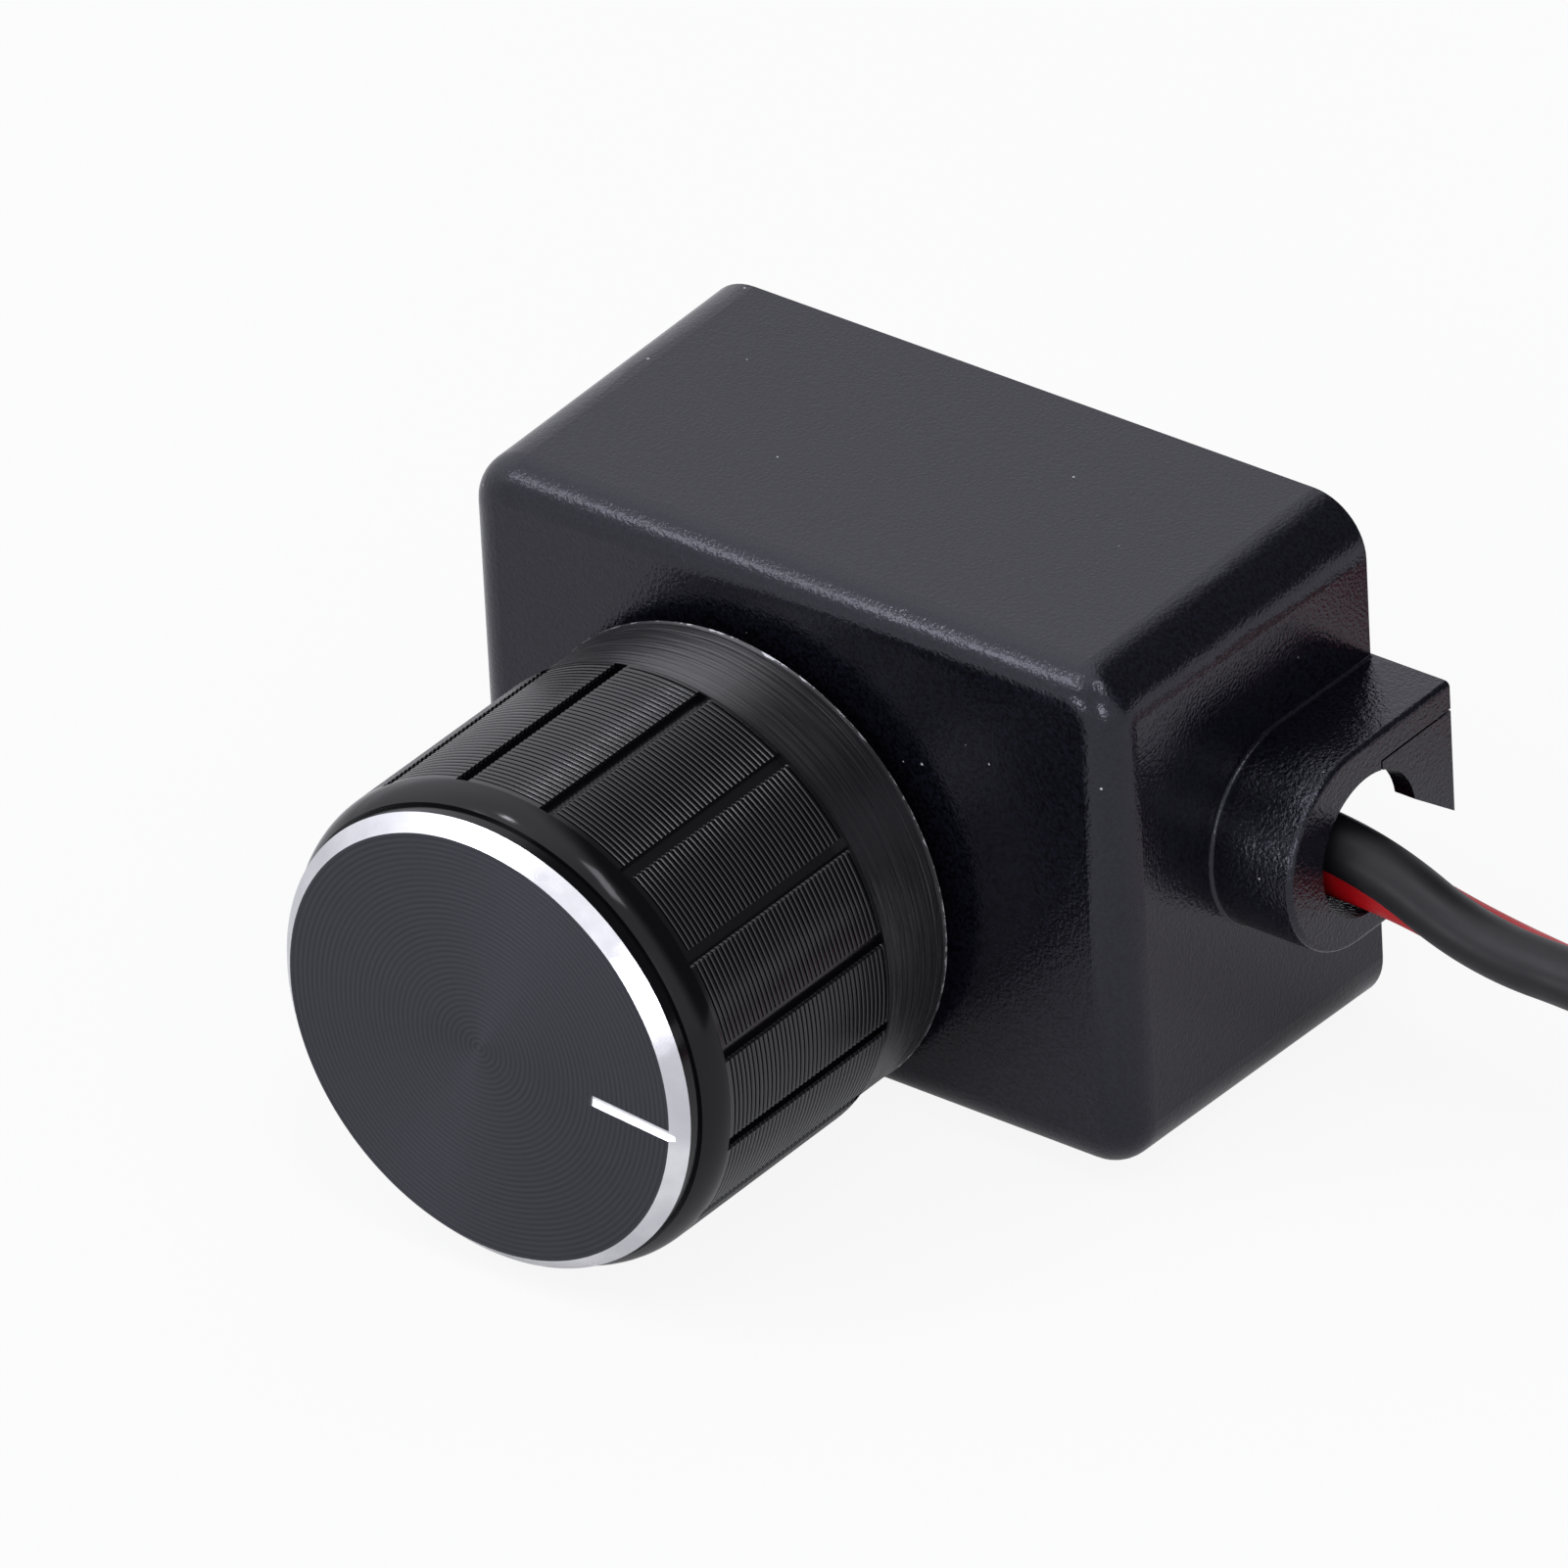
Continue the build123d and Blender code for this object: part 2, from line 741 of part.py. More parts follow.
with BuildPart() as chip_resistors:
    with BuildSketch(ahead(board_back)):
        with Locations(resistor_place):
            with GridLocations(chip_pitch, resistor_row_pitch, 3, 2):
                Rectangle(chip_width, chip_length)
    extrude(amount=-resistor_height)

with BuildPart() as chip_capacitors:
    with BuildSketch(ahead(board_back)):
        with Locations(chip_capacitor_place):
            with GridLocations(chip_pitch, chip_length, 3, 1):
                Rectangle(chip_width, chip_length)
    extrude(amount=-chip_capacitor_height)

parts = {
    "housing": housing.part,
    "rear_cover": rear_cover.part,
    "circuit_board": circuit_board.part,
    "pot_bushing": pot_bushing.part,
    "pot_case": pot_case.part,
    "pot_wafer": pot_wafer.part,
    "pot_back": pot_back.part,
    "pot_terminals": pot_terminals.part,
    "pot_washer": pot_washer.part,
    "pot_nut": pot_nut.part,
    "pot_shaft": pot_shaft.part,
    "pot_rotor": pot_rotor.part,
    "wiper_contact": wiper_contact.part,
    "retaining_ring": retaining_ring.part,
    "knob_shell": knob_shell.part,
    "knob_insert": knob_insert.part,
    "black_lead": black_lead,
    "red_lead": red_lead,
    "black_lead_end": black_lead_end,
    "red_lead_end": red_lead_end,
    "lead_cores": lead_cores.part,
    "solder_joints": solder_joints.part,
    "electrolytic_capacitor": electrolytic_capacitor.part,
    "power_transistor": power_transistor.part,
    "timer_chip": timer_chip.part,
    "voltage_regulator": voltage_regulator.part,
    "flyback_diode": flyback_diode.part,
    "chip_resistors": chip_resistors.part,
    "chip_capacitors": chip_capacitors.part,
}
for name, part in parts.items():
    part.label = name
    export_step(part, f"parts/{name}.step")
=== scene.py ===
import bpy
import bmesh
import math
from mathutils import Matrix, Vector


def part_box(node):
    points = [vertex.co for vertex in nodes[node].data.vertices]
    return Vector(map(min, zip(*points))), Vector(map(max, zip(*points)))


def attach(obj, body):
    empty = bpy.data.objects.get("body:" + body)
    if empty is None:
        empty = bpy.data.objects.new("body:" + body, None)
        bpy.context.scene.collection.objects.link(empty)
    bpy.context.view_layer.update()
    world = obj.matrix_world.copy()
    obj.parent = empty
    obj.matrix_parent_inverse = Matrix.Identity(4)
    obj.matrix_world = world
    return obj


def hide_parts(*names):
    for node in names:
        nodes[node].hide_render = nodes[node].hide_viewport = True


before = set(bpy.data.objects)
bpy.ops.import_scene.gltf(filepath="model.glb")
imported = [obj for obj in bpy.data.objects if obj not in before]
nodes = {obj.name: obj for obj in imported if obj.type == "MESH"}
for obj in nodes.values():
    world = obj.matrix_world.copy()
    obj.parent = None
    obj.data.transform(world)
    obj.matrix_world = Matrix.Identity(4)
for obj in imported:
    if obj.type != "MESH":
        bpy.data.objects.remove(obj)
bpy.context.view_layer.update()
mm = 0.001
print("frame loaded:", len(nodes), "nodes")


def linearColour(hexCode):
    channels = [int(hexCode[i:i + 2], 16) / 255 for i in (1, 3, 5)]
    return [c / 12.92 if c <= 0.04045 else ((c + 0.055) / 1.055) ** 2.4 for c in channels] + [1.0]


def addNode(tree, kind, sockets=None, **settings):
    node = tree.nodes.new(kind)
    for name, value in settings.items():
        setattr(node, name, value)
    for name, value in (sockets or {}).items():
        if isinstance(value, bpy.types.NodeSocket):
            tree.links.new(value, node.inputs[name])
        else:
            node.inputs[name].default_value = value
    return node


def newMaterial(name):
    material = bpy.data.materials.new(name)
    material.use_nodes = True
    material.node_tree.nodes.clear()
    return material, material.node_tree


def finishMaterial(tree, shader):
    addNode(tree, "ShaderNodeOutputMaterial", {"Surface": shader.outputs["BSDF"]})


def perMetre(sizeMm):
    return 1 / (sizeMm * mm)  # texture scale for a feature of that size


def linkObject(name, data):
    piece = bpy.data.objects.new(name, data)
    bpy.context.scene.collection.objects.link(piece)
    return piece


def smoothShade(mesh, angleDeg):
    mesh.shade_smooth()
    mesh.set_sharp_from_angle(angle=math.radians(angleDeg))


# camera

photoView = {
    "azimuth": 39.127,
    "elevation": 32.133,
    "roll": -3.084,
    "distance": 1173.1,         # mm, a long lens from far off
    "lens": 674.6,
    "sensor": 36.0,
    "looksAt": (2.25, -8.6, 2.1),  # a point in the middle of the box, in mm
    "right": 5.33,              # how far that point lies right of the frame's middle
    "up": 2.23,
    "clip": (0.01, 20.0),       # m
}


def addCamera(spec):
    azimuth, elevation = math.radians(spec["azimuth"]), math.radians(spec["elevation"])
    back = Vector((
        math.sin(azimuth) * math.cos(elevation),
        -math.cos(azimuth) * math.cos(elevation),
        math.sin(elevation),
    ))
    level = Vector((math.cos(azimuth), math.sin(azimuth), 0))
    roll = Matrix.Rotation(math.radians(spec["roll"]), 3, back)
    across = roll @ level
    upward = back.cross(across)
    middle = Vector(spec["looksAt"]) - across * spec["right"] - upward * spec["up"]
    data = bpy.data.cameras.new("photoCamera")
    data.lens = spec["lens"]
    data.sensor_width = spec["sensor"]
    data.clip_start, data.clip_end = spec["clip"]
    camera = linkObject("photoCamera", data)
    turned = Matrix((across, upward, back)).transposed().to_4x4()
    camera.matrix_world = Matrix.Translation((middle + back * spec["distance"]) * mm) @ turned
    bpy.context.scene.camera = camera


addCamera(photoView)
print("camera placed")


# leads

leads = {
    "diameter": 2.4,
    "exitX": 22.5,              # the collar's mouth
    "mouthPoint": 2,            # the point of each route just outside it
    "exitRise": 0.2,            # how much higher the lead is in the mouth
    "roundness": 8,             # fineness of the round section
    "smoothness": 16,           # steps from point to point
    "order": 3,                 # keeps the curve near its points
    "black": [
        (13.0, -7.3, 2.6), (17.8, -6.95, 2.8), (23.5, -6.75, 2.45), (28.6, -6.75, 0.05),
        (34.6, -6.45, -0.1), (40.8, -5.2, -2.3), (47.3, -2.35, -5.6), (52.7, 2.4, -8.15),
        (55.6, 9.4, -7.6), (54.4, 17.2, -5.9), (49.3, 23.3, -5.25), (41.9, 25.2, -5.15),
        (34.4, 23.9, -5.2), (28.7, 19.5, -5.45),  # the far half lies on the red one
    ],
    "red": [
        (13.0, -7.3, -0.4), (17.8, -5.75, 0.5), (23.5, -5.25, 0.2), (27.6, -4.6, -1.25),
        (32.6, -4.2, -2.05), (39.0, -2.7, -4.3), (45.4, -0.2, -7.0), (50.3, 4.1, -8.3),
        (53.2, 10.4, -8.25), (52.4, 17.4, -8.0), (47.9, 22.9, -7.75), (41.6, 24.9, -7.66),
        (35.3, 23.6, -7.7), (30.3, 19.4, -7.87), (28.6, 16.4, -8.0),
    ],
    "blackLength": 89.1,        # of insulation, in mm
    "redLength": 84.3,
}


def addLead(name, route):
    curve = bpy.data.curves.new(name, "CURVE")
    curve.dimensions = "3D"
    curve.bevel_depth = leads["diameter"] / 2 * mm
    curve.bevel_resolution = leads["roundness"]
    curve.use_fill_caps = True
    curve.resolution_u = leads["smoothness"]
    spline = curve.splines.new("NURBS")
    spline.points.add(len(route) - 1)
    for point, place in zip(spline.points, route):
        point.co = (*(Vector(place) * mm), 1)
    spline.order_u = leads["order"]
    spline.use_endpoint_u = True
    return linkObject(name, curve)


blackLead = addLead("blackLead", leads["black"])
redLead = addLead("redLead", leads["red"])
print("leads laid")


# stripped ends: seven tinned strands, twisted

strippedEnd = {
    "length": 6.0,
    "diameter": 1.1,
    "around": 6,
    "layLength": 9.0,           # mm for one turn of the twist
    "steps": 12,
    "hidden": 0.4,              # starts this far inside the insulation
    "roundness": 3,
}


def addStrippedEnd(name, route):
    end, before = Vector(route[-1]), Vector(route[-2])
    heading = (end - before).normalized()
    side = heading.cross(Vector((0, 0, 1))).normalized()
    other = heading.cross(side)
    strand = strippedEnd["diameter"] / 3  # three lie across the bundle
    curve = bpy.data.curves.new(name, "CURVE")
    curve.dimensions = "3D"
    curve.bevel_depth = strand / 2 * mm
    curve.bevel_resolution = strippedEnd["roundness"]
    curve.use_fill_caps = True
    for index in range(strippedEnd["around"] + 1):
        offset = strand if index else 0  # the first strand runs down the middle
        start = 2 * math.pi * index / strippedEnd["around"]
        spline = curve.splines.new("POLY")
        spline.points.add(strippedEnd["steps"])
        for step, point in enumerate(spline.points):
            along = strippedEnd["length"] * step / strippedEnd["steps"]
            turn = start + 2 * math.pi * along / strippedEnd["layLength"]
            around = side * math.cos(turn) + other * math.sin(turn)
            if step == 0:
                along = -strippedEnd["hidden"]
            point.co = (*((end + heading * along + around * offset) * mm), 1)
    return linkObject(name, curve)


blackEnd = addStrippedEnd("blackLeadEnd", leads["black"])
redEnd = addStrippedEnd("redLeadEnd", leads["red"])
print("stripped ends made")


# knob: turned shell with ridged lands between milled grooves

knob = {
    "height": 16.8,
    "landRadius": 10.7,
    "skirtRadius": 10.5,
    "neckRadius": 10.1,
    "shoulderRadius": 10.22,
    "faceRadius": 9.47,
    "ringDepth": 0.6,           # bright bevel
    "neckEnd": 1.2,             # from the face
    "landStart": 2.4,
    "landEnd": 12.7,
    "skirtStart": 13.0,
    "rimChamfer": 0.12,
    "rimBead": 0.035,           # the cutter left a fine lip at the rear rim
    "rimBeadLength": 0.12,
    "skirtLinePitch": 0.14,     # tool lines, coarser than the cutter left
    "skirtLineDepth": (0.003, 0.02),
    "recessRadius": 7.6,
    "recessDepth": 5.2,
    "boreRadius": 5.2,
    "crown": 2.0,
    "ridgePitch": 0.266,
    "ridgeMargin": 0.1,
    "ridgeProfile": (           # share of the pitch, depth in mm
        (0.12, 0.0), (0.5, 0.0), (0.58, 0.13), (0.8, 0.13), (0.95, 0.03)),
    "grooves": 16,
    "grooveFirst": 11.25,       # degrees from +X towards +Z
    "grooveWidth": 0.55,
    "grooveDepth": 0.4,
    "grooveBevel": 0.09,        # the cutter broke the edge where it came in
    "grooveBevelDrop": 0.1,
    "pointerAngle": -5.0,
    "pointerStart": 5.4,
    "pointerWidth": 0.5,
    "pointerDepth": 0.2,
    "pointerMargin": 0.4,       # degrees kept free beside it
    "faceSteps": 6,
    "landColumns": 12,
    "shoulderSteps": 8,
    "smoothUnder": 30.0,        # degrees
    "weld": 1e-4,               # mm, points closer than this become one
    "sliver": 1e-5,
}
goldenShare = 0.618  # steps that never repeat


def knobRows(spec):
    rows = []  # radius, distance from the face, zone of the strip that follows, groove, slot

    def row(radius, depth, zone, groove=False, slot=False):
        rows.append({
            "radius": radius, "depth": depth, "zone": zone, "groove": groove, "slot": slot})

    start, steps = spec["pointerStart"], spec["faceSteps"]
    for step in range(steps):
        row(start * step / steps, 0, "face")
    row(start, 0, "face")
    for step in range(steps):
        row(start + (spec["faceRadius"] - start) * step / steps, 0, "face", slot=True)
    row(spec["faceRadius"], 0, "ring", slot=True)
    slotShare = spec["pointerDepth"] / spec["ringDepth"]
    slotRadius = spec["faceRadius"] + (spec["neckRadius"] - spec["faceRadius"]) * slotShare
    row(slotRadius, spec["pointerDepth"], "ring")
    row(spec["neckRadius"], spec["ringDepth"], "neck")
    row(spec["neckRadius"], spec["neckEnd"], "neck")
    rise = spec["landRadius"] - spec["shoulderRadius"]
    length = spec["landStart"] - spec["neckEnd"]
    bend = (rise ** 2 + length ** 2) / (2 * rise)  # radius of the arc that ends along the lands
    sweep = math.asin(length / bend)
    for step in range(spec["shoulderSteps"]):
        angle = sweep * (1 - step / spec["shoulderSteps"])
        depth = spec["landStart"] - bend * math.sin(angle)
        row(spec["landRadius"] - bend * (1 - math.cos(angle)), depth, "shoulder")
    row(spec["landRadius"], spec["landStart"], "shoulder")
    row(spec["landRadius"], spec["landStart"], "land", groove=True)
    ridged = spec["landEnd"] - spec["landStart"] - 2 * spec["ridgeMargin"]
    count = round(ridged / spec["ridgePitch"])
    pitch = ridged / count
    for index in range(count):
        begin = spec["landStart"] + spec["ridgeMargin"] + pitch * index
        for share, drop in spec["ridgeProfile"]:
            row(spec["landRadius"] - drop, begin + pitch * share, "land", groove=True)
    row(spec["landRadius"], spec["landEnd"] - spec["ridgeMargin"], "land", groove=True)
    row(spec["landRadius"], spec["landEnd"], "land", groove=True)
    row(spec["landRadius"], spec["landEnd"], "skirt")
    row(spec["skirtRadius"], spec["skirtStart"], "skirt")
    beadEnd = spec["height"] - spec["rimChamfer"]
    turned = beadEnd - spec["rimBeadLength"] - spec["skirtStart"]
    count = round(turned / spec["skirtLinePitch"])
    shallow, deep = spec["skirtLineDepth"]
    for index in range(1, count):
        uneven = index * goldenShare % 1  # no two lines alike
        begin = spec["skirtStart"] + turned * index / count
        cut = shallow + (deep - shallow) * uneven
        row(spec["skirtRadius"], begin, "skirt")
        row(spec["skirtRadius"] - cut, begin + turned / count / 2, "skirt")
    row(spec["skirtRadius"], beadEnd - spec["rimBeadLength"], "skirt")
    row(spec["skirtRadius"] + spec["rimBead"], beadEnd, "skirt")
    row(spec["skirtRadius"] - spec["rimChamfer"], spec["height"], "under")
    row(spec["recessRadius"], spec["height"], "under")
    row(spec["recessRadius"], spec["height"] - spec["recessDepth"], "under")
    row(spec["boreRadius"], spec["height"] - spec["recessDepth"], "under")
    row(spec["boreRadius"], spec["crown"], "under")
    row(0, spec["crown"], "under")
    return rows


def knobColumns(spec):
    columns = []  # angle in degrees and kind, all the way round
    half = math.degrees(spec["grooveWidth"] / 2 / spec["landRadius"])
    bevel = math.degrees(spec["grooveBevel"] / spec["landRadius"])
    pitch = 360 / spec["grooves"]
    first = spec["grooveFirst"] - pitch  # the groove just below the pointer
    reach = math.degrees(math.asin(spec["pointerWidth"] / 2 / spec["pointerStart"]))
    reach += spec["pointerMargin"]
    for index in range(spec["grooves"]):
        middle = first + pitch * index
        columns.append((middle - half - bevel, "land"))
        columns.append((middle - half, "bevelEdge"))
        columns.append((middle - half, "floor"))
        columns.append((middle + half, "floor"))
        begin, end = middle + half, middle + pitch - half - bevel
        pointerHere = index == 0
        for step in range(spec["landColumns"]):
            angle = begin + (end - begin) * step / spec["landColumns"]
            if pointerHere and abs(angle - spec["pointerAngle"]) < reach:
                continue  # the pointer's own columns go here
            if pointerHere and angle > spec["pointerAngle"] and columns[-1][1] == "land" \
                    and columns[-1][0] < spec["pointerAngle"]:
                for kind in ("slotLow", "slotLowFloor", "slotHighFloor", "slotHigh"):
                    columns.append((spec["pointerAngle"], kind))
            columns.append((angle, "land"))
    return columns


def knobPoint(spec, row, column, faceY):
    angle, kind = column
    radius, depth = row["radius"], row["depth"]
    if row["groove"] and kind == "floor":
        radius = spec["landRadius"] - spec["grooveDepth"]
    if row["groove"] and kind == "bevelEdge":
        radius = spec["landRadius"] - spec["grooveBevelDrop"]
    if row["slot"] and kind.endswith("Floor"):
        depth = spec["pointerDepth"]
    turn = math.radians(angle)
    if kind.startswith("slot"):
        reach = math.asin(spec["pointerWidth"] / 2 / max(radius, spec["pointerStart"]))
        turn += reach if kind.startswith("slotHigh") else -reach
    return Vector((radius * math.cos(turn), faceY + depth, radius * math.sin(turn))) * mm


def buildKnob(spec):
    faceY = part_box("knob_shell")[0].y / mm
    rows, columns = knobRows(spec), knobColumns(spec)
    shell = bmesh.new()
    grid = [
        [shell.verts.new(knobPoint(spec, row, column, faceY)) for column in columns]
        for row in rows]
    slotOfZone = {"land": 0, "face": 1, "ring": 2, "skirt": 3, "under": 3, "neck": 4, "shoulder": 4}
    for i in range(len(rows) - 1):
        for j in range(len(columns)):
            k = (j + 1) % len(columns)
            face = shell.faces.new((grid[i][j], grid[i][k], grid[i + 1][k], grid[i + 1][j]))
            kind = columns[j][1]
            inSlot = rows[i]["slot"] and kind.startswith("slot") and kind != "slotHigh"
            zone = "ring" if inSlot else rows[i]["zone"]
            face.material_index = slotOfZone[zone]
    bmesh.ops.remove_doubles(shell, verts=shell.verts, dist=spec["weld"] * mm)
    bmesh.ops.dissolve_degenerate(shell, edges=shell.edges, dist=spec["sliver"] * mm)
    bmesh.ops.recalc_face_normals(shell, faces=shell.faces)
    mesh = bpy.data.meshes.new("knobShell")
    shell.to_mesh(mesh)
    shell.free()
    smoothShade(mesh, spec["smoothUnder"])
    return linkObject("knobShell", mesh)


knobShell = buildKnob(knob)
print("knob turned:", len(knobShell.data.polygons), "faces")


# materials

noiseSpan = (0.3, 0.7)  # nearly all of a noise's values lie between these
plainDetail, richDetail = 2.0, 3.0  # octaves in a noise
mixShare, mixFrom, mixTo, mixOut = 0, 6, 7, 2  # sockets of a colour mix

absSpec = {
    "tones": ("#050509", "#14141d"),  # painted shade: the bottoms of the spark texture are painted darker
    "dust": "#b9b9bd",
    "roughness": (0.15, 0.2),
    "ior": 1.48,
    "specularTint": "#efeffc",
    "grain": 0.15,              # mm, the mould's spark texture, drawn coarser to show
    "grainDetail": 1.5,
    "grainHeight": 0.019,
    "coarseGrain": 0.19,        # the collars came from a rougher part of the mould
    "coarseBite": 0.6,
    "coarseHeight": 0.034,
    "collarFrom": 16.6,         # mm from the box's middle
    "collarBlend": 0.3,
    "pebbleShadeSpan": (0.35, 0.65),  # of the grain, from the painted-shade dark tone to the light one
    "cloud": 9.0,               # mm over which the gloss drifts
    "dustSpacing": 1.1,
    "dustSize": 0.075,
    "dustShare": 0.3,           # of the cells that hold a speck
}


def mouldedAbs(name, spec, middleX):
    # injection moulded ABS: near black, satin, with a fine pebble that sparkles along the edges and
    # painted shade in its bottoms
    material, tree = newMaterial(name)
    place = addNode(tree, "ShaderNodeTexCoord").outputs["Object"]
    grain = addNode(tree, "ShaderNodeTexNoise", {
        "Vector": place, "Scale": perMetre(spec["grain"]), "Detail": spec["grainDetail"]})
    coarse = addNode(tree, "ShaderNodeTexNoise", {
        "Vector": place, "Scale": perMetre(spec["coarseGrain"]), "Detail": plainDetail,
        "Roughness": spec["coarseBite"]})
    axes = addNode(tree, "ShaderNodeSeparateXYZ", {"Vector": place})
    fromMiddle = addNode(tree, "ShaderNodeMath", {
        0: axes.outputs["X"], 1: middleX}, operation="SUBTRACT")
    outward = addNode(tree, "ShaderNodeMath", {0: fromMiddle.outputs[0]}, operation="ABSOLUTE")
    onCollar = addNode(tree, "ShaderNodeMapRange", {
        "Value": outward.outputs[0], "From Min": spec["collarFrom"] * mm,
        "From Max": (spec["collarFrom"] + spec["collarBlend"]) * mm,
        "To Min": 0.0, "To Max": spec["coarseHeight"]})
    fineHeight = addNode(tree, "ShaderNodeMath", {
        0: grain.outputs["Fac"], 1: spec["grainHeight"]}, operation="MULTIPLY")
    coarseHeight = addNode(tree, "ShaderNodeMath", {
        0: coarse.outputs["Fac"], 1: onCollar.outputs["Result"]}, operation="MULTIPLY")
    height = addNode(tree, "ShaderNodeMath", {
        0: fineHeight.outputs[0], 1: coarseHeight.outputs[0]}, operation="ADD")
    bump = addNode(tree, "ShaderNodeBump", {
        "Height": height.outputs[0], "Strength": 1.0, "Distance": mm})
    cloud = addNode(tree, "ShaderNodeTexNoise", {
        "Vector": place, "Scale": perMetre(spec["cloud"]), "Detail": plainDetail})
    roughness = addNode(tree, "ShaderNodeMapRange", {
        "Value": cloud.outputs["Fac"], "From Min": noiseSpan[0], "From Max": noiseSpan[1],
        "To Min": spec["roughness"][0], "To Max": spec["roughness"][1]})
    dust = addNode(tree, "ShaderNodeTexVoronoi", {
        "Vector": place, "Scale": perMetre(spec["dustSpacing"])})
    draw = addNode(tree, "ShaderNodeSeparateColor", {"Color": dust.outputs["Color"]})
    reach = addNode(tree, "ShaderNodeMapRange", {
        "Value": draw.outputs["Red"], "From Min": 0.0, "From Max": spec["dustShare"],
        "To Min": spec["dustSize"] / spec["dustSpacing"], "To Max": 0.0})
    speck = addNode(tree, "ShaderNodeMath", {
        0: dust.outputs["Distance"], 1: reach.outputs["Result"]}, operation="LESS_THAN")
    # painted shade: the grain's low spots are coloured darker, as if in shade
    pebbleShade = addNode(tree, "ShaderNodeMapRange", {
        "Value": grain.outputs["Fac"], "From Min": spec["pebbleShadeSpan"][0],
        "From Max": spec["pebbleShadeSpan"][1], "To Min": 0.0, "To Max": 1.0})
    plain = addNode(tree, "ShaderNodeMix", {
        mixShare: pebbleShade.outputs["Result"], mixFrom: linearColour(spec["tones"][0]),
        mixTo: linearColour(spec["tones"][1])}, data_type="RGBA")
    colour = addNode(tree, "ShaderNodeMix", {
        mixShare: speck.outputs[0], mixFrom: plain.outputs[mixOut],
        mixTo: linearColour(spec["dust"])}, data_type="RGBA")
    shader = addNode(tree, "ShaderNodeBsdfPrincipled", {
        "Base Color": colour.outputs[mixOut], "Roughness": roughness.outputs["Result"],
        "Normal": bump.outputs["Normal"], "IOR": spec["ior"],
        "Specular Tint": linearColour(spec["specularTint"])})
    finishMaterial(tree, shader)
    return material


turnedSpec = {
    "colour": "#08080c",
    "bare": "#c9cacd",          # metal where the dye has rubbed off
    "lineLength": 2.6,          # mm
    "rubSize": 0.5,
    "rubReach": 0.5,            # mm in from the rear rim
    "rubbedOver": (0.36, 0.42),  # rim and patch together, from dyed to bare
}
# line spacings and heights in mm, coarser than the tool left, or they would not show
ridgeCut = {
    "roughness": (0.18, 0.26), "ior": 1.62, "anisotropy": 0.3,
    "lineSpacing": 0.11, "lineHeight": 0.003}
skirtCut = {
    "roughness": (0.26, 0.38), "ior": 1.95, "anisotropy": 0.6,
    "lineSpacing": 0.13, "lineHeight": 0.02}
neckCut = {
    "roughness": (0.1, 0.16), "ior": 1.36, "anisotropy": 0.3,
    "lineSpacing": 0.2, "lineHeight": 0.002}
acrossLines = 0.25  # of a turn, spreads the shine across the tool lines


def turnedAnodised(name, spec, cut, rearY):
    # aluminium turned on a lathe, then anodised black: a hard satin film with tool lines round it
    material, tree = newMaterial(name)
    place = addNode(tree, "ShaderNodeTexCoord").outputs["Object"]
    long, fine = perMetre(spec["lineLength"]), perMetre(cut["lineSpacing"])
    stretched = addNode(tree, "ShaderNodeVectorMath", {
        0: place, 1: (long, fine, long)}, operation="MULTIPLY")
    lines = addNode(tree, "ShaderNodeTexNoise", {
        "Vector": stretched.outputs[0], "Scale": 1.0, "Detail": plainDetail})
    bump = addNode(tree, "ShaderNodeBump", {
        "Height": lines.outputs["Fac"], "Strength": 1.0, "Distance": cut["lineHeight"] * mm})
    roughness = addNode(tree, "ShaderNodeMapRange", {
        "Value": lines.outputs["Fac"], "From Min": noiseSpan[0], "From Max": noiseSpan[1],
        "To Min": cut["roughness"][0], "To Max": cut["roughness"][1]})
    axes = addNode(tree, "ShaderNodeSeparateXYZ", {"Vector": place})
    atRim = addNode(tree, "ShaderNodeMapRange", {
        "Value": axes.outputs["Y"], "From Min": rearY - spec["rubReach"] * mm, "From Max": rearY,
        "To Min": 0.0, "To Max": 1.0})
    patches = addNode(tree, "ShaderNodeTexNoise", {
        "Vector": place, "Scale": perMetre(spec["rubSize"]), "Detail": richDetail})
    level = addNode(tree, "ShaderNodeMath", {
        0: atRim.outputs["Result"], 1: patches.outputs["Fac"]}, operation="MULTIPLY")
    rubbed = addNode(tree, "ShaderNodeMapRange", {
        "Value": level.outputs[0], "From Min": spec["rubbedOver"][0],
        "From Max": spec["rubbedOver"][1], "To Min": 0.0, "To Max": 1.0})
    colour = addNode(tree, "ShaderNodeMix", {
        mixShare: rubbed.outputs["Result"], mixFrom: linearColour(spec["colour"]),
        mixTo: linearColour(spec["bare"])}, data_type="RGBA")
    around = addNode(tree, "ShaderNodeTangent", direction_type="RADIAL", axis="Y")
    shader = addNode(tree, "ShaderNodeBsdfPrincipled", {
        "Base Color": colour.outputs[mixOut], "Metallic": rubbed.outputs["Result"],
        "Anisotropic": cut["anisotropy"], "Anisotropic Rotation": acrossLines,
        "Tangent": around.outputs["Tangent"], "Roughness": roughness.outputs["Result"],
        "Normal": bump.outputs["Normal"], "IOR": cut["ior"]})
    finishMaterial(tree, shader)
    return material


facedSpec = {
    "tones": ("#3e3e44", "#49494f"),  # dyed metal, with painted shade in the bottoms of the tool marks
    "roughness": (0.34, 0.44),
    "anisotropy": 0.7,
    "markSpacing": 0.24,        # mm between tool marks, drawn coarser to show
    "markHeight": 0.003,
    "markShadeSpan": (-0.6, 0.6),    # from the painted-shade dark tone to the light one
    "waver": 0.9,               # mm over which the marks grow faint and strong
    "cloud": 3.0,
}


